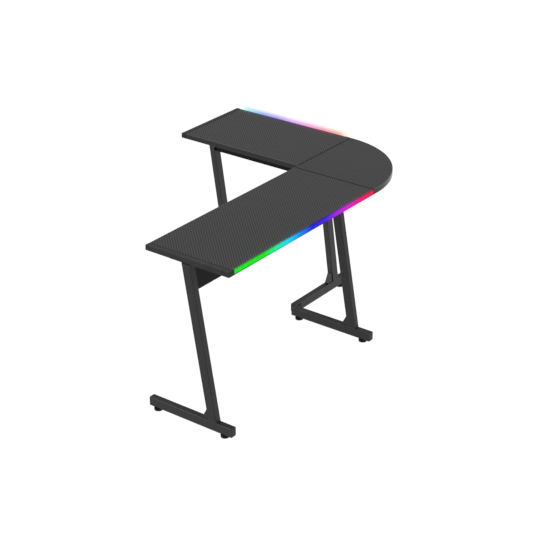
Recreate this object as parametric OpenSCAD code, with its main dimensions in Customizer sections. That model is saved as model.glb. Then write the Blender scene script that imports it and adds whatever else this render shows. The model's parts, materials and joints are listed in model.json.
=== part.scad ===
// L-shaped corner desk: two straight wings joined by a rounded corner top,
// on four slanted-leg frames, with a light bar let into the outer edge of each wing.
// The inner corner of the L is the drawing's reference; place() moves it so that
// the finished desk stands on z = 0, centred on its own bounding box.

/* [Desktop] */
// Height of the desktop above the floor
desk_h = 750; // [700:5:800]
// Length of the near wing from the inner corner to its free end
near_len = 990; // [800:10:1200]
// Length of the far wing from the inner corner to its free end
far_len = 662; // [560:2:900]
// Front-to-back depth of each wing
wing_depth = 415; // [400:5:430]
// How far the far wing's inner edge is set back from the inner corner
far_setback = 24; // [16:1:30]
// Thickness of the boards
board_t = 23; // [22:1:26]
// Width of the moulded trim on each free end
trim_w = 25; // [20:1:25]
// Thickness of the edge band on the long inner edges and the arc
band_t = 2; // [1:0.5:3]
// Width of the gap between neighbouring boards
seam_gap = 2.5; // [1:0.5:3]

/* [Leg frames] */
// Length of a foot bar over its end caps
bar_len = 426; // [415:1:430]
// Height of the frame tube as it lies in the foot bar
tube_h = 40; // [35:1:45]
// Width of a leg's front face
leg_w = 42; // [36:1:46]
// Thickness of the frame tube across the frame
tube_w = 30; // [25:1:35]
// Wall thickness of the frame tube
tube_wall = 1.5; // [1.2:0.1:2]
// Distance from the inner end of the foot bar to the middle of the leg's top
leg_top_at = 213; // [205:1:225]
// Lean of the legs from the vertical
leg_lean = 9.9; // [8:0.1:11]
// Thickness of the leg plates under the boards
plate_t = 4; // [3:0.5:5]
// Width of the gusset along the foot bar
gusset_w = 33; // [25:1:40]
// Height of the gusset up the leg
gusset_h = 45; // [35:1:55]

/* [Beams] */
// Height of the cross beam under each wing
beam_h = 120; // [90:5:140]
// Thickness of the cross beams
beam_t = 15; // [12:1:18]

/* [Light bars] */
// Depth of a light bar into the board
light_d = 12; // [10:1:14]
// Gap between the near wing's free end and its light bar
near_light_gap = 33; // [20:1:60]
// Gap between the far wing's free end and its light bar
far_light_gap = 25; // [20:1:60]
// Gap between the corner seam and the far wing's light bar
far_light_seam_gap = 30; // [10:1:60]
// Distance between neighbouring lamps on the light strips
lamp_pitch = 33.3; // [16:0.1:40]

/* [Levelling feet] */
// Radius of a foot's pad
pad_r = 18.5; // [14:0.5:20]
// Height of the foot bars above the floor
foot_h = 15; // [12:1:18]
// Distance from the inner end of a foot bar to its levelling foot
inner_foot_inset = 34; // [28:1:50]
// Distance from the outer end of a foot bar to its levelling foot
outer_foot_inset = 43; // [28:1:50]
// Radius of the threaded stem
stem_r = 4; // [3:0.5:5]

/* [Hidden] */
$fn = 48;
eps = 0.01;

// Desktop
under_z = desk_h - board_t;
far_outer = far_setback + wing_depth;
seam_half = seam_gap / 2;
near_board_end = -near_len + trim_w;
far_board_end = -far_len + trim_w;
tongue_d = 6;
tongue_t = 3;
tongue_z = 10;
seam_bevel = 1.2;

// Frames: the inner end of each foot bar, its lower side face and its turn.
end_inset = 2;
bar_overhang = 13;
corner_face = -8;
corner_cut = 9;
near_end_at = [-bar_overhang, -near_len + end_inset, 0];
near_corner_at = [-bar_overhang, 0, 0];
far_corner_at = [corner_face, tube_w + 0.5 - corner_cut, 90];
far_end_at = [-far_len + end_inset + tube_w, far_setback - bar_overhang, 90];
frames = [near_end_at, near_corner_at, far_corner_at, far_end_at];
tube_r = 3;
cap_t = 2;
cap_plug = 8;
bar_top = foot_h + tube_h;
plate_z = under_z - plate_t;
leg_run = (plate_z - bar_top) * tan(leg_lean);
leg_slant_w = leg_w / cos(leg_lean);
leg_foot_at = leg_top_at + leg_run;
gusset_t = 22;
plate_l = 160;
end_plate_w = 60;
corner_plate_w = 120;
overall_y = far_corner_at[1] + bar_len;

// Beams, with their inner faces measured from the inner edge of each wing
beam_inset = 208;
beam_z = plate_z - beam_h;
near_beam_y0 = -near_len + end_inset + tube_w;
far_beam_x0 = -far_len + end_inset + tube_w;
far_beam_x1 = corner_face - tube_w;
bracket_l = 16;
bracket_bolt_at = 9;
bracket_run = 38;
bracket_t = 2.5;
bracket_z = 635;
bracket_h = 60;
bracket_holes = [bracket_z + 12, bracket_z + 45];

// Screws
screw_r = 2;
screw_head_r = 4;
screw_head_t = 2.4;
screw_l = 15;
bolt_r = 2.5;
bolt_head_r = 4.6;
bolt_head_t = 2.6;
bolt_l = 9;

// Light bars
near_light_len = near_len - near_light_gap - seam_half;
far_light_len = far_len - far_light_gap - far_light_seam_gap;
lip_l = 6;
lip_t = 3;
light_round = 3;
channel_t = 1.5;
channel_top = board_t - lip_t - 0.3;
light_cap_t = 2;

// Levelling feet
insert_r = 5.5;
insert_l = 12;
stem_play = 0.05;
stem_top = 48;

// Controller under the near wing, close to the inner corner
box_l = 90;
box_w = 45;
box_h = 22;
box_x = 40;
box_y = -240;
box_base_t = 3;
box_wall = 2;
box_z = under_z - box_h;
button_r = 5;
button_play = 0.3;
button_y = box_y + 30;
button_z = box_z + 10;
inlet_y = box_y + box_l;
inlet_x = box_x + 16;

// Leads under the boards
lead_r = 1.8;
lead_bend = 12;
lead_z = under_z - lead_r - 0.2;
near_drop_y = -70;
far_drop_x = -110;
light_mid = light_d / 2;
lead_out_x = box_x + box_w;
near_lead_y = box_y + 55;
far_lead_y = box_y + 70;
far_lead_turn_x = 330;
far_lead_turn_y = 150;

module place() {
  translate([(far_len - wing_depth) / 2, (near_len - overall_y) / 2, 0]) children();
}

// Puts a frame's own drawing (bar along x, thickness along y) where the frame stands.
module at_frame(f) {
  place() translate([f[0], f[1], 0]) rotate([0, 0, f[2]]) children();
}

// Light bar drawings use x outwards from the bottom of the rebate, y up from the
// underside of the board and z along the bar.
module at_near_light() {
  place() translate([wing_depth - light_d, -seam_half, under_z]) rotate([90, 0, 0]) children();
}

module at_far_light() {
  place() translate([-far_len + far_light_gap, far_outer - light_d, under_z])
    rotate([90, 0, 90]) children();
}

// ---- shared shapes ----

module rounded_rect(w, h, r) {
  translate([r, 0]) square([w - 2 * r, h]);
  translate([0, r]) square([w, h - 2 * r]);
  for (x = [r, w - r], y = [r, h - r]) translate([x, y]) circle(r, $fn = 32);
}

// Rectangular tube along +z, with its corner at the origin.
module tube(w, h, l) {
  linear_extrude(l) difference() {
    rounded_rect(w, h, tube_r);
    translate([tube_wall, tube_wall])
      rounded_rect(w - 2 * tube_wall, h - 2 * tube_wall, tube_r - tube_wall);
  }
}

// Pan-head screw pointing up, with the underside of its head at z = 0.
module screw_up(r, head_r, head_t, l) {
  translate([0, 0, -head_t]) cylinder(r = head_r, h = head_t);
  cylinder(r = r, h = l - 2 * r);
  translate([0, 0, l - 2 * r]) cylinder(r1 = r, r2 = 0.4, h = 2 * r);
}

// ---- screw positions on the boards' underside, in the drawing's own x and y ----

function turned(f, p) = f[2] == 0 ? [f[0] + p[0], f[1] + p[1]] : [f[0] - p[1], f[1] + p[0]];

near_plate_screws = [for (u = [-65, 65], v = [40, 56]) turned(near_end_at, [leg_top_at + u, v])];
far_plate_screws = [for (u = [-65, 65], v = [-10, -26]) turned(far_end_at, [leg_top_at + u, v])];
near_corner_wing = [for (u = [-65, -25, 65]) turned(near_corner_at, [leg_top_at + u, -30])];
near_corner_top = [for (u = [-65, 0, 65]) turned(near_corner_at, [leg_top_at + u, 60])];
far_corner_wing = [for (u = [-65, -25, 65]) turned(far_corner_at, [leg_top_at + u, 50])];
far_corner_top = [for (u = [-65, 0, 65]) turned(far_corner_at, [leg_top_at + u, -40])];

// Flat seam plates: near the two ends of each seam, two screws in each board.
seam_l = 100;
seam_w = 30;
seam_t = 2.5;
seam_near_x = [60, 350];
seam_far_y = [far_setback + 60, far_setback + 350];
seam_reach = [15, 38];
seam_near_wing = [for (x = seam_near_x, d = seam_reach) [x, -d]];
seam_near_top = [for (x = seam_near_x, d = seam_reach) [x, d]];
seam_far_wing = [for (y = seam_far_y, d = seam_reach) [-d, y]];
seam_far_top = [for (y = seam_far_y, d = seam_reach) [d, y]];

box_screws = [for (y = [box_y - 7, box_y + box_l + 7]) [box_x + box_w / 2, y]];

// Lead clips: centre and the direction of the lead through each, 0 along x and 90 along y
near_clips = [[230, near_lead_y, 0]];
far_clips = [
  [150, far_lead_y, 0], [far_lead_turn_x, -90, 90], [far_lead_turn_x, 70, 90],
  [90, far_lead_turn_y, 0], [far_drop_x, 340, 90]
];
clip_ear = 7;
function clip_screw(c) = c[2] == 0 ? [c[0], c[1] + clip_ear] : [c[0] + clip_ear, c[1]];

module pilot_holes(points, r, l) {
  for (p = points) translate([p[0], p[1], under_z - eps]) cylinder(r = r + 0.05, h = l);
}

// ---- desktop ----

// Bevel that is cut along the top edge of a board, for an edge lying along +x.
module bevel_cut(l) {
  translate([-eps, 0, desk_h]) rotate([45, 0, 0])
    translate([0, -seam_bevel, -seam_bevel]) cube([l + 2 * eps, 2 * seam_bevel, 2 * seam_bevel]);
}

// Room for a light bar in the board's outer edge, under a lip of board.
module light_rebate(l) {
  translate([0, -eps, -eps]) cube([light_d + eps, board_t - lip_t + eps, l + eps]);
  translate([lip_l, -eps, -eps]) cube([light_d - lip_l + eps, board_t + 2 * eps, l + eps]);
}

module near_wing_board() {
  color("#484848") difference() {
    place() difference() {
      translate([band_t, near_board_end, under_z])
        cube([wing_depth - band_t, -near_board_end - seam_half, board_t]);
      translate([0, near_board_end - eps, under_z + tongue_z])
        cube([wing_depth + eps, tongue_d + 0.5, tongue_t]);
      translate([0, -seam_half, 0]) bevel_cut(wing_depth);
      pilot_holes(concat(near_plate_screws, near_corner_wing, seam_near_wing), screw_r, screw_l);
      pilot_holes(box_screws, 1.5, 10);
      pilot_holes([for (c = concat(near_clips, [far_clips[0], far_clips[1]])) clip_screw(c)], 1.5, 10);
    }
    at_near_light() light_rebate(near_light_len);
  }
}

module far_wing_board() {
  color("#484848") difference() {
    place() difference() {
      translate([far_board_end, far_setback + band_t, under_z])
        cube([-far_board_end - seam_half, wing_depth - band_t, board_t]);
      translate([far_board_end - eps, far_setback, under_z + tongue_z])
        cube([tongue_d + 0.5, wing_depth + eps, tongue_t]);
      translate([-seam_half, far_setback, 0]) rotate([0, 0, 90]) bevel_cut(wing_depth);
      pilot_holes(concat(far_plate_screws, far_corner_wing, seam_far_wing), screw_r, screw_l);
      pilot_holes([clip_screw(far_clips[4])], 1.5, 10);
    }
    at_far_light() light_rebate(far_light_len);
  }
}

// Plan of the corner top: a straight strip as deep as the setback, then a quarter disc.
module corner_plan(grow) {
  square([wing_depth + grow, far_setback]);
  intersection() {
    translate([0, far_setback]) circle(wing_depth + grow, $fn = 180);
    translate([0, far_setback - eps]) square(wing_depth + 1);
  }
}

module corner_board() {
  color("#484848") place() difference() {
    translate([0, 0, under_z]) linear_extrude(board_t) intersection() {
      corner_plan(-band_t);
      translate([band_t / 2, seam_half]) square(2 * wing_depth);
    }
    translate([0, seam_half, 0]) bevel_cut(wing_depth);
    translate([band_t / 2, 0, 0]) rotate([0, 0, 90]) bevel_cut(far_outer);
    pilot_holes(concat(near_corner_top, far_corner_top, seam_near_top, seam_far_top), screw_r, screw_l);
    pilot_holes([for (c = [far_clips[2], far_clips[3]]) clip_screw(c)], 1.5, 10);
  }
}

// Section of the moulded end trim: x is the distance in from the free end.
module trim_section() {
  polygon([
    [0.8, 0], [trim_w, 0], [trim_w, board_t - 1.5], [trim_w - 2.4, board_t - 1.5],
    [trim_w - 2.8, board_t],
    for (a = [0:15:90]) [2.4 - 2.4 * sin(a), board_t - 2.4 + 2.4 * cos(a)],
    [0, 0.8]
  ]);
}

module tongue_section() {
  translate([trim_w - 1, tongue_z + 0.2]) square([tongue_d + 1, tongue_t - 0.4]);
}

module near_end_trim() {
  past_band = band_t + 0.2;
  color("#404040") place() translate([0, -near_len, under_z]) rotate([90, 0, 90]) {
    linear_extrude(wing_depth) trim_section();
    translate([0, 0, past_band]) linear_extrude(wing_depth - past_band) tongue_section();
  }
}

module far_end_trim() {
  past_light = light_d + 1;
  color("#404040") place() translate([-far_len, far_outer, under_z]) rotate([90, 0, 0]) {
    linear_extrude(wing_depth) trim_section();
    translate([0, 0, past_light]) linear_extrude(wing_depth - past_light - band_t - 0.2) tongue_section();
  }
}

// Section of the edge band, outer face at x = 0, with its corners eased.
module band_section() {
  ease = min(1.4, band_t - 0.2);
  polygon([
    [band_t, 0], [band_t, board_t],
    for (a = [0:15:90]) [ease - ease * sin(a), board_t - ease + ease * cos(a)],
    for (a = [0:30:90]) [ease / 2 - ease / 2 * cos(a), ease / 2 - ease / 2 * sin(a)]
  ]);
}

module near_edge_band() {
  color("#3a3a3a") place() translate([0, -seam_half, under_z])
    rotate([90, 0, 0]) linear_extrude(-near_board_end - seam_half) band_section();
}

module far_edge_band() {
  color("#3a3a3a") place() translate([far_board_end, far_setback, under_z])
    rotate([90, 0, 90]) linear_extrude(-far_board_end - seam_half) band_section();
}

module corner_edge_band() {
  color("#3a3a3a") place() {
    translate([wing_depth, far_setback, under_z]) rotate([90, 0, 0])
      linear_extrude(far_setback - seam_half) mirror([1, 0]) band_section();
    difference() {
      translate([0, far_setback, under_z]) rotate_extrude(angle = 90, $fn = 180)
        translate([wing_depth, 0]) mirror([1, 0]) band_section();
      translate([-1, far_setback, under_z - 1]) cube([1 + band_t / 2, 2 * wing_depth, board_t + 2]);
    }
    translate([0, seam_half, under_z]) cube([band_t / 2 - 0.05, far_setback - seam_half, board_t - 0.4]);
  }
}

// ---- light bars ----

module channel_section() {
  polygon([
    [0, 0.3], [light_d, 0.3], [light_d, 0.3 + channel_t], [channel_t, 0.3 + channel_t],
    [channel_t, channel_top - channel_t], [lip_l, channel_top - channel_t], [lip_l, channel_top],
    [0, channel_top]
  ]);
}

module diffuser_section() {
  wall = 2;
  polygon([
    [light_d, 0.4 + channel_t],
    for (a = [0:15:90])
      [light_d - light_round + light_round * cos(a), board_t - light_round + light_round * sin(a)],
    [lip_l + 0.2, board_t], [lip_l + 0.2, board_t - wall],
    [light_d - light_round, board_t - wall], [light_d - wall, board_t - light_round],
    [light_d - wall, 0.4 + channel_t]
  ]);
}

module light_channel(l) {
  difference() {
    translate([0, 0, light_cap_t]) linear_extrude(l - 2 * light_cap_t) channel_section();
    children();
  }
}

module light_diffuser(l) {
  translate([0, 0, light_cap_t]) linear_extrude(l - 2 * light_cap_t) diffuser_section();
}

module light_strip(l) {
  strip_l = l - 2 * light_cap_t - 6;
  count = floor((strip_l - 10) / lamp_pitch);
  translate([channel_t, 6, light_cap_t + 3]) {
    cube([1, 10, strip_l]);
    for (i = [0:count]) translate([1, 2.5, 5 + i * lamp_pitch]) cube([1.6, 5, 5]);
  }
}

module light_cap() {
  linear_extrude(light_cap_t - 0.05) polygon([
    [0, 0.3], [light_d, 0.3],
    for (a = [0:15:90])
      [light_d - light_round + light_round * cos(a), board_t - light_round + light_round * sin(a)],
    [lip_l + 0.2, board_t], [lip_l + 0.2, channel_top], [0, channel_top]
  ]);
}

// Hole in the bottom wall of a channel for its lead, at a distance along the bar.
module lead_hole(at) {
  translate([light_mid, 0, at]) rotate([-90, 0, 0]) cylinder(r = lead_r + 0.4, h = 3);
}

module near_light_channel() {
  color("#2b2b2b") at_near_light() light_channel(near_light_len) lead_hole(-near_drop_y - seam_half);
}

module far_light_channel() {
  color("#2b2b2b") at_far_light()
    light_channel(far_light_len) lead_hole(far_drop_x + far_len - far_light_gap);
}

module near_light_strip() { color("white") at_near_light() light_strip(near_light_len); }

module far_light_strip() { color("white") at_far_light() light_strip(far_light_len); }

module near_light_diffuser() { color("#40e0d0") at_near_light() light_diffuser(near_light_len); }

module far_light_diffuser() { color("#8a7cff") at_far_light() light_diffuser(far_light_len); }

module light_end_caps() {
  color("#2b2b2b") {
    at_near_light() for (z = [0, near_light_len - light_cap_t + 0.05]) translate([0, 0, z]) light_cap();
    at_far_light() for (z = [0, far_light_len - light_cap_t + 0.05]) translate([0, 0, z]) light_cap();
  }
}

// ---- leg frames ----

// The far corner bar starts later than the others, to clear the near corner bar.
function bar_start(f) = f == far_corner_at ? corner_cut : 0;
function foot_at(f, outer) = outer ? bar_len - outer_foot_inset : bar_start(f) + inner_foot_inset;

module foot_bar(f) {
  at_frame(f) difference() {
    translate([bar_start(f) + cap_t, 0, bar_top]) rotate([0, 90, 0])
      tube(tube_h, tube_w, bar_len - bar_start(f) - 2 * cap_t);
    for (u = [foot_at(f, false), foot_at(f, true)])
      translate([u, tube_w / 2, foot_h - eps]) cylinder(r = insert_r + 0.05, h = tube_wall + 2 * eps);
    children();
  }
}

// Bolt holes for the bracket that joins the two corner bars: the bracket's corner lies at
// u along the bar, on its face at v.
base_bolt_z = foot_h + tube_h / 2;
base_bolts = [17, 33];
near_base_u = bar_overhang + corner_face;
far_base_u = tube_w - far_corner_at[1];

module base_bolt_holes(u, v) {
  for (d = base_bolts) translate([u + d, v, base_bolt_z])
    rotate([90, 0, 0]) cylinder(r = bolt_r, h = 3 * tube_wall, center = true);
}

module near_end_foot_bar() { color("#383838") foot_bar(near_end_at); }

module near_corner_foot_bar() { color("#383838") foot_bar(near_corner_at) base_bolt_holes(near_base_u, tube_w); }

module far_corner_foot_bar() { color("#383838") foot_bar(far_corner_at) base_bolt_holes(far_base_u, 0); }

module far_end_foot_bar() { color("#383838") foot_bar(far_end_at); }

// Slanted leg from the top of the foot bar to the leg plate.
module leg(f) {
  at_frame(f) difference() {
    intersection() {
      translate([leg_top_at, 0, plate_z]) rotate([0, -leg_lean, 0])
        translate([-leg_w / 2, 0, -800]) tube(leg_w, tube_w, 900);
      translate([0, -1, bar_top]) cube([bar_len, tube_w + 2, plate_z - bar_top]);
    }
    children();
  }
}

// Bolt holes where a beam bracket meets a leg, in the frame's own drawing.
module leg_bolt_holes(u, v) {
  for (z = bracket_holes) translate([u, v, z]) rotate([90, 0, 0])
    cylinder(r = bolt_r, h = 3 * tube_wall, center = true);
}

wing_bolt_u = bar_overhang + beam_inset - bracket_bolt_at;
far_corner_bolt_u = far_setback + beam_inset + beam_t + bracket_bolt_at - far_corner_at[1];

module near_end_leg() { color("#3a3a3a") leg(near_end_at) leg_bolt_holes(wing_bolt_u, tube_w); }

module near_corner_leg() { color("#3a3a3a") leg(near_corner_at) leg_bolt_holes(wing_bolt_u, 0); }

module far_corner_leg() { color("#3a3a3a") leg(far_corner_at) leg_bolt_holes(far_corner_bolt_u, tube_w); }

module far_end_leg() { color("#3a3a3a") leg(far_end_at) leg_bolt_holes(wing_bolt_u, 0); }

// Filler between leg and foot bar, one on each frame.
module leg_gussets() {
  inner = leg_foot_at - leg_slant_w / 2;
  color("#383838") for (f = frames) at_frame(f)
    translate([0, (tube_w + gusset_t) / 2, 0]) rotate([90, 0, 0]) linear_extrude(gusset_t)
      polygon([
        [inner, bar_top], [inner - gusset_w, bar_top], [inner - gusset_w, bar_top + 3],
        [inner - gusset_h * tan(leg_lean) - 3, bar_top + gusset_h],
        [inner - gusset_h * tan(leg_lean), bar_top + gusset_h]
      ]);
}

// Plate under a board, with its holes for the board screws.
module leg_plate(f, w, v0, holes) {
  difference() {
    at_frame(f) translate([leg_top_at - plate_l / 2, v0, plate_z]) cube([plate_l, w, plate_t]);
    place() for (p = holes) translate([p[0], p[1], plate_z - eps])
      cylinder(r = screw_r + 0.2, h = plate_t + 2 * eps);
  }
}

module end_leg_plates() {
  color("#2e2e2e") {
    leg_plate(near_end_at, end_plate_w, 4, near_plate_screws);
    leg_plate(far_end_at, end_plate_w, tube_w - 4 - end_plate_w, far_plate_screws);
  }
}

module corner_leg_plates() {
  low = (tube_w - corner_plate_w) / 2;
  color("#2e2e2e") {
    leg_plate(near_corner_at, corner_plate_w, low, concat(near_corner_wing, near_corner_top));
    leg_plate(far_corner_at, corner_plate_w, low, concat(far_corner_wing, far_corner_top));
  }
}

// End plugs: a head as large as the tube and a ribbed plug inside it.
module foot_bar_caps() {
  plug_play = tube_wall + 0.1;
  color("#1c1c1c") for (f = frames) at_frame(f) for (side = [0, 1])
    translate([side == 0 ? bar_start(f) : bar_len, 0, bar_top]) mirror([side, 0, 0]) rotate([0, 90, 0]) {
      linear_extrude(cap_t) rounded_rect(tube_h, tube_w, tube_r);
      translate([plug_play, plug_play, cap_t - eps]) linear_extrude(cap_plug)
        rounded_rect(tube_h - 2 * plug_play, tube_w - 2 * plug_play, 1.4);
    }
}

module foot_inserts() {
  color("#b8b8b0") for (f = frames) at_frame(f) for (u = [foot_at(f, false), foot_at(f, true)])
    translate([u, tube_w / 2, 0]) difference() {
      union() {
        translate([0, 0, foot_h]) cylinder(r = insert_r, h = insert_l);
        translate([0, 0, foot_h + tube_wall]) cylinder(r = insert_r + 3, h = 1.5);
      }
      translate([0, 0, foot_h - 1]) cylinder(r = stem_r + stem_play, h = insert_l + 2);
    }
}

// ---- beams and brackets ----

module near_beam() {
  color("#262626") place() difference() {
    translate([beam_inset, near_beam_y0, beam_z]) cube([beam_t, -near_beam_y0, beam_h]);
    for (y = [near_beam_y0 + 25, -25], z = bracket_holes)
      translate([beam_inset - eps, y, z]) rotate([0, 90, 0]) cylinder(r = 1.8, h = 10);
  }
}

module far_beam() {
  color("#262626") place() difference() {
    translate([far_beam_x0, far_setback + beam_inset, beam_z])
      cube([far_beam_x1 - far_beam_x0, beam_t, beam_h]);
    for (z = bracket_holes) {
      translate([far_beam_x0 + 25, far_setback + beam_inset - eps, z]) rotate([-90, 0, 0])
        cylinder(r = 1.8, h = 10);
      translate([far_beam_x1 - 25, far_setback + beam_inset + beam_t + eps, z]) rotate([90, 0, 0])
        cylinder(r = 1.8, h = 10);
    }
  }
}

// Angle bracket: x away from the beam along the leg, y along the beam, corner at the origin.
module angle_bracket() {
  difference() {
    union() {
      cube([bracket_l, bracket_t, bracket_h]);
      cube([bracket_t, bracket_run, bracket_h]);
    }
    for (z = bracket_holes) {
      translate([bracket_bolt_at, -1, z - bracket_z]) rotate([-90, 0, 0])
        cylinder(r = bolt_r + 0.2, h = bracket_t + 2);
      translate([-1, 25, z - bracket_z]) rotate([0, 90, 0]) cylinder(r = 2, h = bracket_t + 2);
    }
  }
}

// Puts an angle bracket, or the fasteners drawn with it, at its four places.
module at_brackets() {
  far_y = far_setback + beam_inset;
  place() {
    translate([beam_inset, near_beam_y0, bracket_z]) mirror([1, 0, 0]) children();
    translate([beam_inset, 0, bracket_z]) rotate([0, 0, 180]) children();
    translate([far_beam_x0, far_y, bracket_z]) rotate([0, 0, -90]) children();
    translate([far_beam_x1, far_y + beam_t, bracket_z]) rotate([0, 0, 90]) children();
  }
}

module beam_brackets() { color("#2e2e2e") at_brackets() angle_bracket(); }

module beam_screws() {
  color("#8c8c8c") at_brackets() for (z = bracket_holes) translate([bracket_t, 25, z - bracket_z])
    rotate([0, -90, 0]) screw_up(1.75, 3.5, 2, 11);
}

// Domed machine bolt along +z, with the underside of its head at z = 0.
module machine_bolt() {
  translate([0, 0, -bolt_head_t]) cylinder(r = bolt_head_r, h = bolt_head_t);
  cylinder(r = bolt_r - 0.05, h = bolt_l);
}

module frame_bolts() {
  color("#8c8c8c") {
    at_brackets() for (z = bracket_holes) translate([bracket_bolt_at, bracket_t, z - bracket_z])
      rotate([90, 0, 0]) machine_bolt();
    at_frame(near_corner_at) for (d = base_bolts)
      translate([near_base_u + d, tube_w + bracket_t, base_bolt_z])
        rotate([90, 0, 0]) machine_bolt();
    at_frame(far_corner_at) for (d = base_bolts) translate([far_base_u + d, -bracket_t, base_bolt_z])
      rotate([-90, 0, 0]) machine_bolt();
  }
}

// Angle that ties the two corner foot bars together, inside the corner they make.
module base_corner_bracket() {
  leg_l = 42;
  h = 26;
  color("#2e2e2e") place() translate([corner_face, tube_w, foot_h + (tube_h - h) / 2])
    difference() {
      union() {
        cube([leg_l, bracket_t, h]);
        cube([bracket_t, leg_l, h]);
      }
      for (d = base_bolts) {
        translate([d, -1, h / 2]) rotate([-90, 0, 0]) cylinder(r = bolt_r + 0.2, h = bracket_t + 2);
        translate([-1, d, h / 2]) rotate([0, 90, 0]) cylinder(r = bolt_r + 0.2, h = bracket_t + 2);
      }
    }
}

module seam_plate(holes) {
  difference() {
    translate([-seam_w / 2, -seam_l / 2, under_z - seam_t]) cube([seam_w, seam_l, seam_t]);
    for (d = holes) translate([0, d, under_z - seam_t - eps])
      cylinder(r = screw_r + 0.2, h = seam_t + 2 * eps);
  }
}

module seam_plates() {
  holes = [-seam_reach[1], -seam_reach[0], seam_reach[0], seam_reach[1]];
  color("#8c8c8c") place() {
    for (x = seam_near_x) translate([x, 0, 0]) seam_plate(holes);
    for (y = seam_far_y) translate([0, y, 0]) rotate([0, 0, 90]) seam_plate(holes);
  }
}

module board_screws() {
  through_plates = concat(near_plate_screws, far_plate_screws, near_corner_wing, near_corner_top,
    far_corner_wing, far_corner_top);
  through_seams = concat(seam_near_wing, seam_near_top, seam_far_wing, seam_far_top);
  color("#8c8c8c") place() {
    for (p = through_plates) translate([p[0], p[1], plate_z])
      screw_up(screw_r, screw_head_r, screw_head_t, screw_l);
    for (p = through_seams) translate([p[0], p[1], under_z - seam_t])
      screw_up(screw_r, screw_head_r, screw_head_t, screw_l);
  }
}

// ---- light controller ----

module controller_base() {
  color("#1e1e1e") place() difference() {
    translate([box_x, box_y - 14, under_z - box_base_t]) cube([box_w, box_l + 28, box_base_t]);
    for (p = box_screws) translate([p[0], p[1], under_z - box_base_t - 1])
      cylinder(r = 1.8, h = box_base_t + 2);
  }
}

module controller_cover() {
  color("#1e1e1e") place() difference() {
    translate([box_x, box_y, box_z]) linear_extrude(box_h - box_base_t)
      rounded_rect(box_w, box_l, 4);
    translate([box_x + box_wall, box_y + box_wall, box_z + box_wall])
      linear_extrude(box_h) rounded_rect(box_w - 2 * box_wall, box_l - 2 * box_wall, 2);
    translate([box_x - 1, button_y, button_z]) rotate([0, 90, 0])
      cylinder(r = button_r + button_play, h = box_wall + 2);
    translate([inlet_x, inlet_y - box_wall - 1, button_z]) rotate([-90, 0, 0])
      cylinder(r = 5.1, h = box_wall + 2);
    for (y = [near_lead_y, far_lead_y]) translate([lead_out_x - box_wall - 1, y, button_z])
      rotate([0, 90, 0]) cylinder(r = lead_r + 0.2, h = box_wall + 2);
  }
}

// Circuit board on four posts, with a key switch behind the button.
module controller_circuit() {
  board_z = box_z + 5;
  color("#1f5a36") place() {
    translate([box_x + 9, box_y + 6, board_z]) cube([box_w - 13, box_l - 20, 1.6]);
    translate([box_x + 11, button_y - 4, board_z + 1.6]) cube([6, 8, 6]);
    translate([box_x + 20, box_y + 38, board_z + 1.6]) cube([12, 12, 1.8]);
    for (x = [box_x + 12, box_x + box_w - 8], y = [box_y + 9, box_y + box_l - 18])
      translate([x, y, box_z + box_wall]) cylinder(r = 2, h = 5 - box_wall);
  }
}

module controller_button() {
  color("#303030") place() translate([box_x, button_y, button_z]) rotate([0, 90, 0]) {
    translate([0, 0, -2.4]) cylinder(r1 = button_r - 0.5, r2 = button_r, h = 0.5);
    translate([0, 0, -1.9]) cylinder(r = button_r, h = 5.4);
    translate([0, 0, box_wall + 0.3]) cylinder(r = button_r + 1.2, h = 1.2);
    translate([0, 0, box_wall + 1.5]) cylinder(r = 1.5, h = 6.1);
  }
}

module controller_inlet() {
  color("#101010") place() translate([inlet_x, inlet_y, button_z]) rotate([-90, 0, 0]) difference() {
    union() {
      cylinder(r = 6.5, h = 1.6);
      translate([0, 0, -12]) cylinder(r = 5, h = 12.1);
    }
    translate([0, 0, -9]) difference() {
      cylinder(r = 2.85, h = 12);
      cylinder(r = 1, h = 8);
    }
  }
}

module controller_screws() {
  color("#8c8c8c") place() {
    for (p = box_screws) translate([p[0], p[1], under_z - box_base_t])
      screw_up(1.5, 3, 1.8, 12);
    for (c = concat(near_clips, far_clips)) translate([clip_screw(c)[0], clip_screw(c)[1], under_z - 1.5])
      screw_up(1.5, 3, 1.6, 10);
  }
}

// ---- leads ----

// Round lead in the plane of the underside: straight runs joined by quarter bends.
module run_x(x0, x1, y) {
  translate([min(x0, x1), y, lead_z]) rotate([0, 90, 0]) cylinder(r = lead_r, h = abs(x1 - x0), $fn = 24);
}

module run_y(y0, y1, x) {
  translate([x, max(y0, y1), lead_z]) rotate([90, 0, 0]) cylinder(r = lead_r, h = abs(y1 - y0), $fn = 24);
}

// Quarter bend about a centre, starting at the given direction from it.
module bend(x, y, from) {
  translate([x, y, lead_z]) rotate([0, 0, from]) rotate_extrude(angle = 90)
    translate([lead_bend, 0]) circle(lead_r, $fn = 24);
}

// Upright end of a lead: out of the controller, or up into a light bar.
module riser(x, y, z0, z1) {
  translate([x, y, z0]) cylinder(r = lead_r, h = z1 - z0, $fn = 24);
}

// Leaves the controller's side and climbs to the underside.
module lead_start(y) {
  x = lead_out_x + 6;
  translate([lead_out_x - 8, y, button_z]) rotate([0, 90, 0]) cylinder(r = lead_r, h = 14, $fn = 24);
  translate([x, y, button_z]) sphere(lead_r, $fn = 24);
  riser(x, y, button_z, lead_z);
  translate([x, y, lead_z]) sphere(lead_r, $fn = 24);
}

module near_light_lead() {
  drop_x = wing_depth - light_mid;
  color("#141414") place() {
    lead_start(near_lead_y);
    run_x(lead_out_x + 6, drop_x - lead_bend, near_lead_y);
    bend(drop_x - lead_bend, near_lead_y + lead_bend, -90);
    run_y(near_lead_y + lead_bend, near_drop_y, drop_x);
    translate([drop_x, near_drop_y, lead_z]) sphere(lead_r, $fn = 24);
    riser(drop_x, near_drop_y, lead_z, under_z + 5);
  }
}

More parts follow.
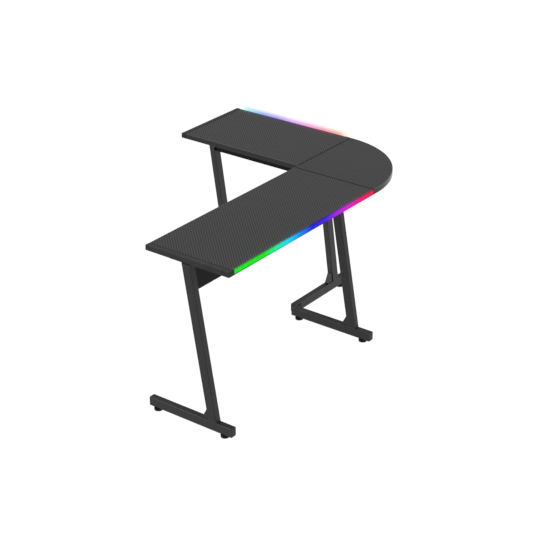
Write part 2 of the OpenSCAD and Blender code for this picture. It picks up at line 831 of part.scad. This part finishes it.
module far_light_lead() {
  drop_y = far_outer - light_mid;
  color("#141414") place() {
    lead_start(far_lead_y);
    run_x(lead_out_x + 6, far_lead_turn_x - lead_bend, far_lead_y);
    bend(far_lead_turn_x - lead_bend, far_lead_y + lead_bend, -90);
    run_y(far_lead_y + lead_bend, far_lead_turn_y - lead_bend, far_lead_turn_x);
    bend(far_lead_turn_x - lead_bend, far_lead_turn_y - lead_bend, 0);
    run_x(far_lead_turn_x - lead_bend, far_drop_x + lead_bend, far_lead_turn_y);
    bend(far_drop_x + lead_bend, far_lead_turn_y + lead_bend, 180);
    run_y(far_lead_turn_y + lead_bend, drop_y, far_drop_x);
    translate([far_drop_x, drop_y, lead_z]) sphere(lead_r, $fn = 24);
    riser(far_drop_x, drop_y, lead_z, under_z + 5);
  }
}

// Saddle clip over a lead along x, with one screwed ear.
module lead_clip() {
  play = lead_r + 0.1;
  wall = 1.2;
  low = under_z - lead_z;
  difference() {
    union() {
      translate([-4, -play - wall, -low - play - wall]) cube([8, 2 * (play + wall), low + play + wall]);
      translate([-4, play + wall - 0.5, -1.5]) cube([8, clip_ear - play - wall + 4.5, 1.5]);
    }
    translate([-5, 0, -low]) rotate([0, 90, 0]) cylinder(r = play, h = 10);
    translate([-5, -play, -low]) cube([10, 2 * play, low + 1]);
    translate([0, clip_ear, -3]) cylinder(r = 1.7, h = 5);
  }
}

module lead_clips() {
  color("#202020") place() for (c = concat(near_clips, far_clips))
    translate([c[0], c[1], under_z]) rotate([0, 0, -c[2]]) lead_clip();
}

// ---- levelling feet ----

// Moulded pad with its threaded stem, screwed fully in.
module levelling_foot(f, outer) {
  color("#161616") at_frame(f) translate([foot_at(f, outer), tube_w / 2, 0]) {
    rotate_extrude() polygon([
      [0, 0], [pad_r - 1.5, 0], [pad_r - 0.5, 0.5], [pad_r, 1.5], [pad_r, foot_h - 3.5],
      [pad_r - 0.5, foot_h - 2.5], [pad_r - 1.5, foot_h - 2], [pad_r - 4, foot_h - 1.8],
      [pad_r - 4, foot_h], [0, foot_h]
    ]);
    translate([0, 0, foot_h - 1]) cylinder(r = stem_r, h = stem_top - foot_h);
    translate([0, 0, stem_top - 1]) cylinder(r1 = stem_r, r2 = stem_r - 1, h = 1);
  }
}

module near_end_inner_foot() { levelling_foot(near_end_at, false); }
module near_end_outer_foot() { levelling_foot(near_end_at, true); }
module near_corner_inner_foot() { levelling_foot(near_corner_at, false); }
module near_corner_outer_foot() { levelling_foot(near_corner_at, true); }
module far_corner_inner_foot() { levelling_foot(far_corner_at, false); }
module far_corner_outer_foot() { levelling_foot(far_corner_at, true); }
module far_end_inner_foot() { levelling_foot(far_end_at, false); }
module far_end_outer_foot() { levelling_foot(far_end_at, true); }

near_wing_board();
far_wing_board();
corner_board();
near_end_trim();
far_end_trim();
near_edge_band();
far_edge_band();
corner_edge_band();
near_light_channel();
near_light_strip();
near_light_diffuser();
far_light_channel();
far_light_strip();
far_light_diffuser();
light_end_caps();
near_end_foot_bar();
near_corner_foot_bar();
far_corner_foot_bar();
far_end_foot_bar();
near_end_leg();
near_corner_leg();
far_corner_leg();
far_end_leg();
leg_gussets();
end_leg_plates();
corner_leg_plates();
foot_bar_caps();
foot_inserts();
near_beam();
far_beam();
beam_brackets();
seam_plates();
base_corner_bracket();
board_screws();
beam_screws();
frame_bolts();
controller_base();
controller_cover();
controller_circuit();
controller_button();
controller_inlet();
controller_screws();
near_light_lead();
far_light_lead();
lead_clips();
near_end_inner_foot();
near_end_outer_foot();
near_corner_inner_foot();
near_corner_outer_foot();
far_corner_inner_foot();
far_corner_outer_foot();
far_end_inner_foot();
far_end_outer_foot();
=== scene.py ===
"""Corner desk: finishes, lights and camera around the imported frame."""
import colorsys
import json
import math

import bpy
from mathutils import Matrix, Vector

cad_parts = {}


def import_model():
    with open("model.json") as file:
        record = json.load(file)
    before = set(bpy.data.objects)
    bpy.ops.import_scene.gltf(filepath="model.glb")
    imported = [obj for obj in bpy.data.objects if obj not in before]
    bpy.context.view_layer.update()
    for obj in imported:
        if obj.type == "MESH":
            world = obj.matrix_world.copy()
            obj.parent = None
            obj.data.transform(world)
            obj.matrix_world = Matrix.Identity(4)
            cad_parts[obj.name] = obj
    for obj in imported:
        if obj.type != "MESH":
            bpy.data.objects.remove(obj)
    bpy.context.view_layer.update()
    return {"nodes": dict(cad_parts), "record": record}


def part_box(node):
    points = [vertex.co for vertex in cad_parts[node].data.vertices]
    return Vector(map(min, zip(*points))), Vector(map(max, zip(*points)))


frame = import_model()
NODES = frame["nodes"]
SLOT = {p["node"]: p["material_slot"] for p in frame["record"]["subparts"]}
MM = 0.001

# Millimetres
TWILL_CELL = 3.55  # one tow of the printed weave
TOP_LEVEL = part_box("near_wing_board")[1][2] / MM
SEAM_DEPTH = 0.12  # the top's material lies in a seam or groove below this depth
LIP_DROP = 18.5  # from the top down to the dark line on a light cover
LIP_HALF = 1.3  # half that line's height
LIP_FADE = 1.8  # the line has faded out at 1 / LIP_FADE of the bar
LAMP_PITCH = 33.3

# Parts of a normal
FACES_UP = 0.22  # an upper edge of a tube
RIM_FACES_UP = 0.2  # the top of an edge band


# ---- colour and node helpers ----

def linear(value):
    """One 0-255 display value as scene light."""
    v = value / 255
    return v / 12.92 if v <= 0.04045 else ((v + 0.055) / 1.055) ** 2.4


def grey(value):
    """A grey of one display value."""
    g = linear(value)
    return (g, g, g, 1)


def hue(degrees, saturation, value):
    """A colour by its hue in degrees, with saturation and value from 0 to 1."""
    rgb = colorsys.hsv_to_rgb(degrees % 360 / 360, saturation, value)
    return tuple(linear(255 * c) for c in rgb) + (1,)


class Shader:
    """A material with its Principled shader and short ways to add nodes to it."""

    def __init__(self, name, **sockets):
        self.material = bpy.data.materials.new(name)
        self.material.use_nodes = True
        self.tree = self.material.node_tree
        self.bsdf = self.tree.nodes["Principled BSDF"]
        for socket, value in sockets.items():
            self.bsdf.inputs[socket.replace("_", " ")].default_value = value

    def add(self, kind, settings=None, **inputs):
        """A shader node, with its settings and its inputs by name."""
        node = self.tree.nodes.new("ShaderNode" + kind)
        for key, value in (settings or {}).items():
            setattr(node, key, value)
        for key, value in inputs.items():
            self.put(node.inputs[key.replace("_", " ")], value)
        return node

    def put(self, socket, value):
        if isinstance(value, bpy.types.NodeSocket):
            self.tree.links.new(value, socket)
        else:
            socket.default_value = value

    def math(self, operation, *values, clamp=False):
        node = self.add("Math", {"operation": operation, "use_clamp": clamp})
        for socket, value in zip(node.inputs, values):
            self.put(socket, value)
        return node.outputs[0]

    def mix(self, factor, a, b):
        node = self.add("Mix", {"data_type": "RGBA"})
        self.put(node.inputs[0], factor)
        self.put(node.inputs[6], a)
        self.put(node.inputs[7], b)
        return node.outputs[2]

    def place(self):
        """Position in the frame, in millimetres."""
        here = self.add("TexCoord").outputs["Object"]
        return self.add("VectorMath", {"operation": "SCALE"}, Vector=here, Scale=1000).outputs[0]

    def noise(self, vector, scale, detail=3.0, stretch=None):
        """Noise with about one cell per scale millimetres."""
        if stretch:
            vector = self.add("VectorMath", {"operation": "MULTIPLY"}, Vector=vector).outputs[0]
            vector.node.inputs[1].default_value = stretch
        node = self.add("TexNoise", Vector=vector, Scale=1 / scale, Detail=detail)
        return node.outputs["Fac"]

    def between(self, fac, low, high):
        """Maps 0 to 1 onto low to high."""
        node = self.add("MapRange", Value=fac)
        node.inputs["To Min"].default_value = low
        node.inputs["To Max"].default_value = high
        return node.outputs[0]

    def bump(self, height, depth, under=None):
        """Bump with its depth in millimetres."""
        node = self.add("Bump", Height=height, Distance=depth * MM)
        if under:
            self.put(node.inputs["Normal"], under)
        return node.outputs[0]

    def upper_edges(self, low, high):
        """1 on rounded edges that face partly up, 0 elsewhere. The largest part of a normal is 1
        where it lies along an axis; an edge is where that part is under low, fading by high."""
        normal = self.add("SeparateXYZ", Vector=self.add("NewGeometry").outputs["Normal"])
        x, y, z = (self.math("ABSOLUTE", normal.outputs[i]) for i in range(3))
        nearest = self.math("MAXIMUM", self.math("MAXIMUM", x, y), z)
        node = self.add("MapRange", Value=nearest)
        for socket, number in zip(node.inputs[1:5], (low, high, 1, 0)):
            socket.default_value = number
        upward = self.math("GREATER_THAN", normal.outputs[2], FACES_UP)
        return self.math("MULTIPLY", node.outputs[0], upward)

    def out(self, colour=None, rough=None, normal=None):
        for socket, value in (("Base Color", colour), ("Roughness", rough), ("Normal", normal)):
            if value is not None:
                self.put(self.bsdf.inputs[socket], value)
        return self.material


# ---- finishes ----

def moulded(name, shade, rough, grain=0.5, depth=0.02, spec=0.3, lip=False, rim=None):
    """Moulded plastic with a fine spark texture and faint cloudiness.
    With lip, painted shade darkens the top's seams and grooves; rim is the grey of a painted
    highlight on what faces up."""
    s = Shader(name, Specular_IOR_Level=spec)
    here = s.place()
    cloud = s.noise(here, 40, 4)
    fine = s.noise(here, grain, 4)
    colour = s.mix(cloud, grey(shade * 0.88), grey(shade * 1.12))
    if rim:
        up = s.add("SeparateXYZ", Vector=s.add("NewGeometry").outputs["Normal"]).outputs[2]
        # painted highlight: faces that point up take the rim grey
        colour = s.mix(s.math("GREATER_THAN", up, RIM_FACES_UP), colour, grey(rim))
    roughness = s.between(fine, rough - 0.06, rough + 0.06)
    return s.out(painted_seam_shade(s, colour) if lip else colour, roughness, s.bump(fine, depth))


def powder_coat(name, shade, rough=0.42, spec=0.4):
    """Satin powder coat: orange peel, painted sparkle as light specks, a painted highlight on the
    upper edges and faint rub marks.
    """
    s = Shader(name, Specular_IOR_Level=spec)
    here = s.place()
    peel = s.noise(here, 1.6, 2)
    fine = s.noise(here, 0.35, 3)
    cloud = s.noise(here, 60, 5)
    painted_sparkle = s.math("GREATER_THAN", fine, 0.68)
    colour = s.mix(cloud, grey(shade * 0.9), grey(shade * 1.1))
    # painted sparkle: specks mixed a quarter of the way to a light grey
    colour = s.mix(s.math("MULTIPLY", painted_sparkle, 0.25), colour, grey(shade * 1.7))
    # painted highlight: rounded edges that face up are lightened, a little unevenly with the cloud
    # noise
    painted_edge_highlight = s.math("MULTIPLY", s.upper_edges(0.93, 0.97), s.between(cloud, 0.8, 1.0))
    colour = s.mix(painted_edge_highlight, colour, grey(shade * 2.4))
    rub = s.noise(here, 14, 5, stretch=(1, 1, 0.15))
    roughness = s.between(rub, rough - 0.07, rough + 0.07)
    return s.out(colour, roughness, s.bump(fine, 0.015, s.bump(peel, 0.05)))


def gap(node_a, node_b, axis, reach):
    """Where one top piece ends and the next begins, in millimetres."""
    return axis, (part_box(node_a)[1][axis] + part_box(node_b)[0][axis]) / 2 / MM, reach


# Where painted shade goes: each seam, and the groove at the far wing's trim, as axis, middle and
# reach
GAPS = (
    gap("far_wing_board", "corner_board", 0, 4.0),
    gap("near_wing_board", "corner_board", 1, 4.0),
    (0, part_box("far_wing_board")[0][0] / MM, 3.0),
)


def painted_seam_shade(s, colour):
    """Paints shade on the walls and floor of the top's seams and grooves, near black, so that they
    read as gaps.
    """
    xyz = s.add("SeparateXYZ", Vector=s.place())
    sunk = s.math("LESS_THAN", xyz.outputs[2], TOP_LEVEL - SEAM_DEPTH)
    inside = 0
    for axis, middle, reach in GAPS:
        away = s.math("ABSOLUTE", s.math("SUBTRACT", xyz.outputs[axis], middle))
        inside = s.math("MAXIMUM", inside, s.math("LESS_THAN", away, reach))
    # painted shade: sunk faces inside a seam or groove go near black
    return s.mix(s.math("MULTIPLY", sunk, inside), colour, grey(3))


def laminate(name, dark, light, side, rough=0.4, spec=0.3, cell=TWILL_CELL):
    """Carbon-fibre patterned laminate: a two-over-two twill on the top face only.
    Each tow has fine fibres along it and a rounded crown; sides and underside are plain."""
    s = Shader(name, Specular_IOR_Level=spec)
    here = s.place()
    xyz = s.add("SeparateXYZ", Vector=here)
    x, y = (s.math("DIVIDE", xyz.outputs[i], cell) for i in (0, 1))
    diagonal = s.math("ADD", s.math("FLOOR", x), s.math("FLOOR", y))
    warp = s.math("LESS_THAN", s.math("FLOORED_MODULO", diagonal, 4), 2)
    turns = (s.math("MULTIPLY", s.math("FRACT", v), math.pi) for v in (x, y))
    crown_x, crown_y = (s.math("SINE", v) for v in turns)
    over = s.math("MULTIPLY", warp, crown_x)
    under = s.math("MULTIPLY", s.math("SUBTRACT", 1, warp), crown_y)
    crown = s.math("ADD", over, under)
    fibre_y = s.noise(here, 0.5, 3, stretch=(1, 0.04, 1))
    fibre_x = s.noise(here, 0.5, 3, stretch=(0.04, 1, 1))
    fibre = s.add("Mix", {"data_type": "FLOAT"}, Factor=warp, A=fibre_x, B=fibre_y).outputs[0]
    cloud = s.noise(here, 120, 4)
    tone = s.mix(warp, grey(dark), grey(light))
    tone = s.mix(s.math("MULTIPLY", fibre, 0.3), tone, grey(light * 1.1))
    tone = s.mix(s.math("MULTIPLY", s.math("SUBTRACT", 1, crown), 0.4), tone, grey(dark * 0.8))
    tone = s.mix(s.math("MULTIPLY", cloud, 0.15), tone, grey(light))
    up = s.add("SeparateXYZ", Vector=s.add("NewGeometry").outputs["Normal"]).outputs[2]
    level = s.math("GREATER_THAN", xyz.outputs[2], TOP_LEVEL - SEAM_DEPTH)
    is_top = s.math("MULTIPLY", s.math("GREATER_THAN", up, 0.9), level)
    plain = s.mix(cloud, grey(side * 0.92), grey(side * 1.08))
    # the plain sides get painted shade in the seams
    colour = s.mix(is_top, painted_seam_shade(s, plain), tone)
    roughness = s.between(fibre, rough - 0.06, rough + 0.08)
    height = s.math("MULTIPLY", s.math("ADD", crown, s.math("MULTIPLY", fibre, 0.3)), is_top)
    return s.out(colour, roughness, s.bump(height, 0.05))


def plated(name, shade, rough=0.32):
    """Zinc-plated steel with the plating's soft spangle."""
    s = Shader(name, Metallic=0.9)
    here = s.place()
    cloud = s.noise(here, 3, 4)
    fine = s.noise(here, 0.4, 3)
    colour = s.mix(cloud, grey(shade * 0.85), grey(shade * 1.1))
    return s.out(colour, s.between(fine, rough - 0.08, rough + 0.12), s.bump(fine, 0.01))


def diffuser(name, axis, start, end, stops, saturation, crown=0.4, lip=0.8):
    """Frosted light cover whose colour runs along the bar, with soft spots at the lamps.
    It is dimmed to crown where it faces up, and by lip on a thin line low on the bar."""
    s = Shader(name, Specular_IOR_Level=0.1, Roughness=0.5)
    here = s.place()
    along = s.add("SeparateXYZ", Vector=here).outputs[axis]
    t = s.math("DIVIDE", s.math("SUBTRACT", along, start), end - start, clamp=True)
    ramp = s.add("ValToRGB", Fac=t)
    points = ramp.color_ramp.elements
    while len(points) < len(stops):
        points.new(0.5)
    for point, (at, degrees, value) in zip(points, stops):
        point.position = at
        point.color = hue(degrees, saturation, value)
    turn = s.math("MULTIPLY", s.math("SUBTRACT", along, start), 2 * math.pi / LAMP_PITCH)
    lamps = s.math("COSINE", turn)
    haze = s.noise(here, 2.5, 3)
    level = s.math("ADD", s.between(lamps, 0.97, 1.03), s.between(haze, -0.03, 0.03))
    up = s.add("SeparateXYZ", Vector=s.add("NewGeometry").outputs["Normal"]).outputs[2]
    level = s.math("MULTIPLY", level, s.between(s.math("MAXIMUM", up, 0), 1.0, crown))
    high = s.add("SeparateXYZ", Vector=here).outputs[2]
    off_line = s.math("ABSOLUTE", s.math("SUBTRACT", high, TOP_LEVEL - LIP_DROP))
    fading = s.math("SUBTRACT", 1, s.math("MULTIPLY", t, LIP_FADE), clamp=True)
    fading = s.math("MULTIPLY", fading, lip)
    line = s.math("MULTIPLY", s.math("LESS_THAN", off_line, LIP_HALF), fading)
    level = s.math("MULTIPLY", level, s.math("SUBTRACT", 1, line))
    s.put(s.bsdf.inputs["Emission Color"], ramp.outputs[0])
    s.put(s.bsdf.inputs["Emission Strength"], level)
    return s.out(s.mix(0.96, ramp.outputs[0], grey(8)), None, s.bump(haze, 0.02))


# Along each light, from 0 to 1: hue in degrees and value
NEAR_HUES = [
    (0.0, 125, 0.9), (0.2, 121, 0.89), (0.28, 158, 0.93), (0.36, 188, 0.95),
    (0.45, 209, 0.92), (0.53, 236, 0.87), (0.63, 256, 0.86), (0.73, 285, 0.89),
    (0.82, 309, 0.86), (0.89, 331, 0.87), (0.96, 340, 0.88), (1.0, 345, 0.88),
]
FAR_HUES = [
    (0.0, 175, 0.9), (0.1, 195, 0.9), (0.2, 217, 0.9), (0.3, 239, 0.9),
    (0.4, 257, 0.9), (0.5, 273, 0.9), (0.6, 294, 0.9), (0.7, 317, 0.9),
    (0.8, 341, 0.9), (0.9, 356, 0.9), (1.0, 375, 0.9),
]

# Along the glow over the far light: hue and saturation
FAR_HALO = [
    (0.0, 180, 0.28), (0.06, 185, 0.29), (0.2, 221, 0.37), (0.35, 250, 0.34), (0.5, 286, 0.3),
    (0.65, 314, 0.33), (0.8, 346, 0.35), (0.94, 373, 0.34), (1.0, 402, 0.3),
]


def bar_ends(node, axis):
    """A light cover's two ends, in millimetres."""
    low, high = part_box(node)
    return low[axis] / MM, high[axis] / MM


FINISH = {
    "board_laminate": laminate("board_laminate", 8, 77, 34),
    "corner_laminate": laminate("corner_laminate", 17, 74, 34),
    # lip gives the trim's groove painted shade
    "end_trim": moulded("end_trim", 68, 0.42, grain=0.8, spec=0.08, lip=True),
    # the edge band's top gets a painted highlight
    "edge_band": moulded("edge_band", 30, 0.2, grain=0.8, depth=0.01, spec=0.36, rim=105),
    "light_channel": moulded("light_channel", 30, 0.35, grain=0.3),
    "lamp_strip": moulded("lamp_strip", 225, 0.5),
    "near_light_diffuser": diffuser(
        "near_light_diffuser", 1, *bar_ends("near_light_diffuser", 1), NEAR_HUES, 0.97),
    "far_light_diffuser": diffuser(
        "far_light_diffuser", 0, *bar_ends("far_light_diffuser", 0), FAR_HUES, 0.7, crown=0.15),
    "light_end_caps": moulded("light_end_caps", 30, 0.5, spec=0.2),
    "frame_steel": powder_coat("frame_steel", 36),
    "plate_steel": powder_coat("plate_steel", 28, rough=0.5),
    "cap_plastic": moulded("cap_plastic", 40, 0.45),
    "insert_steel": plated("insert_steel", 180),
    "beam_laminate": moulded("beam_laminate", 16, 0.55, grain=1.2, depth=0.04, spec=0.14),
    "zinc_steel": plated("zinc_steel", 175),
    "screw_steel": plated("screw_steel", 62, rough=0.34),
    "controller_plastic": moulded("controller_plastic", 22, 0.5, depth=0.05),
    "circuit": moulded("circuit", 70, 0.4),
    "button_rubber": moulded("button_rubber", 40, 0.7),
    "inlet_plastic": moulded("inlet_plastic", 18, 0.25),
    "lead_sheath": moulded("lead_sheath", 20, 0.4),
    "clip_plastic": moulded("clip_plastic", 28, 0.5),
    "foot_plastic": moulded("foot_plastic", 14, 0.5, depth=0.05, spec=0.2),
}

for name, obj in NODES.items():
    for slot in obj.material_slots:
        slot.material = FINISH[SLOT[name]]


# ---- floor, light and camera ----

FLOOR_SIZE = 30.0
FLOOR_DROP = 0.0105  # under the feet at their full travel
FLOOR_GLOSS = 0.86  # its light as reflections see it
FLOOR_BOUNCE = 0.02  # its light on everything else
WORLD_LEVEL = 0.49
HALO_HEIGHT = 0.0295
HALO_FOOT = 0.004
HALO_BEHIND = 0.0005
HALO_ENDS = (0.004, 0.024)  # how far it runs past each end of the light
HALO_FADE = 0.045
SPILL_RISE = 0.008
SPILL_OUT = 0.004
SPILL_REACH = 0.012
SPILL_WIDTH = 0.005


def floor():
    """A white floor that the camera sees evenly lit. The feet stay over it when screwed out."""
    size = FLOOR_SIZE
    mesh = bpy.data.meshes.new("floor")
    corners = [(-size, -size, 0), (size, -size, 0), (size, size, 0), (-size, size, 0)]
    mesh.from_pydata([(x, y, z - FLOOR_DROP) for x, y, z in corners], [], [(0, 1, 2, 3)])
    obj = bpy.data.objects.new("floor", mesh)
    bpy.context.scene.collection.objects.link(obj)
    s = Shader("floor", Specular_IOR_Level=0.0, Roughness=1.0)
    s.bsdf.inputs["Emission Color"].default_value = (1, 1, 1, 1)
    path = s.add("LightPath").outputs
    gloss = s.math("MULTIPLY", path["Is Glossy Ray"], FLOOR_GLOSS)
    seen = s.math("MAXIMUM", path["Is Camera Ray"], gloss)
    s.put(s.bsdf.inputs["Emission Strength"], s.math("MAXIMUM", seen, FLOOR_BOUNCE))
    s.out(s.mix(s.noise(s.place(), 300, 3), grey(70), grey(76)))
    mesh.materials.append(s.material)


def area(name, place, aim, width, height, power, colour=(1, 1, 1)):
    """A soft rectangular light that the camera doesn't see."""
    data = bpy.data.lights.new(name, "AREA")
    data.shape = "RECTANGLE"
    data.size, data.size_y = width, height
    data.energy = power
    data.color = colour
    obj = bpy.data.objects.new(name, data)
    obj.location = place
    obj.rotation_euler = (Vector(aim) - Vector(place)).to_track_quat("-Z", "Y").to_euler()
    obj.visible_camera = False
    bpy.context.scene.collection.objects.link(obj)
    return obj


def world(strength):
    """Even white surroundings, at full white only where the camera sees them."""
    w = bpy.data.worlds.new("studio")
    bpy.context.scene.world = w
    w.use_nodes = True
    tree = w.node_tree
    background = tree.nodes["Background"]
    background.inputs["Color"].default_value = (1, 1, 1, 1)
    seen = tree.nodes.new("ShaderNodeLightPath").outputs["Is Camera Ray"]
    level = tree.nodes.new("ShaderNodeMapRange")
    level.inputs["To Min"].default_value = strength
    level.inputs["To Max"].default_value = 1.0
    tree.links.new(seen, level.inputs["Value"])
    tree.links.new(level.outputs[0], background.inputs["Strength"])


def halo(node, hues):
    """The glow seen over the far light: a clear sheet standing on it, tinted near its foot."""
    low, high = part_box(node)
    mesh = bpy.data.meshes.new("far_halo")
    back, foot, head = high[1] + HALO_BEHIND, high[2] - HALO_FOOT, high[2] + HALO_HEIGHT
    start, end = low[0] - HALO_ENDS[0], high[0] + HALO_ENDS[1]
    corners = [(start, foot), (end, foot), (end, head), (start, head)]
    mesh.from_pydata([(x, back, z) for x, z in corners], [], [(0, 1, 2, 3)])
    obj = bpy.data.objects.new("far_halo", mesh)
    bpy.context.scene.collection.objects.link(obj)
    for kind in ("diffuse", "glossy", "shadow", "transmission", "volume_scatter"):
        setattr(obj, "visible_" + kind, False)
    s = Shader("far_halo")
    xyz = s.add("SeparateXYZ", Vector=s.place())
    along = s.math("DIVIDE", xyz.outputs[0], 1000)
    t = s.math("DIVIDE", s.math("SUBTRACT", along, low[0]), high[0] - low[0], clamp=True)
    ramp = s.add("ValToRGB", Fac=t)
    points = ramp.color_ramp.elements
    while len(points) < len(hues):
        points.new(0.5)
    for point, (at, degrees, saturation) in zip(points, hues):
        point.position = at
        point.color = hue(degrees, saturation, 0.94)
    fade = s.add("MapRange", {"interpolation_type": "SMOOTHSTEP"}, Value=xyz.outputs[2])
    for socket, number in zip(fade.inputs[1:5], (high[2] / MM, head / MM, 1, 0)):
        socket.default_value = number
    fade = fade.outputs[0]
    inward = s.math("MINIMUM", s.math("SUBTRACT", along, start), s.math("SUBTRACT", end, along))
    ends = s.math("DIVIDE", inward, HALO_FADE, clamp=True)
    tint = s.mix(s.math("MULTIPLY", fade, ends), (1, 1, 1, 1), ramp.outputs[0])
    clear = s.add("BsdfTransparent", Color=tint)
    s.tree.links.new(clear.outputs[0], s.tree.nodes["Material Output"].inputs["Surface"])
    mesh.materials.append(s.material)


def spill(node, axis, outward, stops, saturation, power, count=16):
    """A row of small coloured lights over a light bar, for the glow that it throws on the top."""
    low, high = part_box(node)
    step = (high[axis] - low[axis]) / count
    for i in range(count):
        t = (i + 0.5) / count
        before = max(s for s in stops if s[0] <= t)
        after = min(s for s in stops if s[0] >= t)
        part = (t - before[0]) / max(after[0] - before[0], 0.001)
        colour = hue(before[1] + part * (after[1] - before[1]), saturation, 0.9)[:3]
        spot = Vector(((low[0] + high[0]) / 2, (low[1] + high[1]) / 2, high[2] + SPILL_RISE))
        spot[axis] = low[axis] + (i + 0.5) * step
        spot += Vector(outward) * SPILL_OUT
        aim = spot - Vector(outward) * SPILL_REACH - Vector((0, 0, SPILL_RISE))
        lamp = area(f"{node}_spill_{i}", spot, aim, step, SPILL_WIDTH, power, colour)
        lamp.visible_glossy = False


LIGHTS = [
    ("front", (-0.8, -2.6, 2.1), (0, -0.7, 0.35), 1.8, 1.2, 26),
    ("right", (2.6, 1.9, 2.1), (0, 0.5, 0.4), 1.8, 1.4, 29),
]
floor()
world(WORLD_LEVEL)
for name, place, aim, width, height, power in LIGHTS:
    area(name, place, aim, width, height, power)
halo("far_light_diffuser", FAR_HALO)
spill("near_light_diffuser", 1, (1, 0, 0), NEAR_HUES, 0.85, 0.008)
spill("far_light_diffuser", 0, (0, 1, 0), FAR_HUES, 0.6, 0.009)

# The camera looks from AZIMUTH round from the near wing's free end, over a point at desktop height
AZIMUTH, ELEVATION, DISTANCE = math.radians(36.7), math.radians(26.4), 5.710
TARGET = Vector((0.6885, -0.62975, 0.750))
LENS, SENSOR = 99.78, 36
BACK = Vector((
    math.sin(AZIMUTH) * math.cos(ELEVATION),
    -math.cos(AZIMUTH) * math.cos(ELEVATION),
    math.sin(ELEVATION),
))
camera_data = bpy.data.cameras.new("camera")
camera_data.sensor_width = SENSOR
camera_data.lens = LENS
camera_data.clip_end = 200
camera = bpy.data.objects.new("camera", camera_data)
camera.location = TARGET + BACK * DISTANCE
camera.rotation_euler = (-BACK).to_track_quat("-Z", "Y").to_euler()
bpy.context.scene.collection.objects.link(camera)
bpy.context.scene.camera = camera
bpy.context.scene.view_settings.view_transform = "Standard"
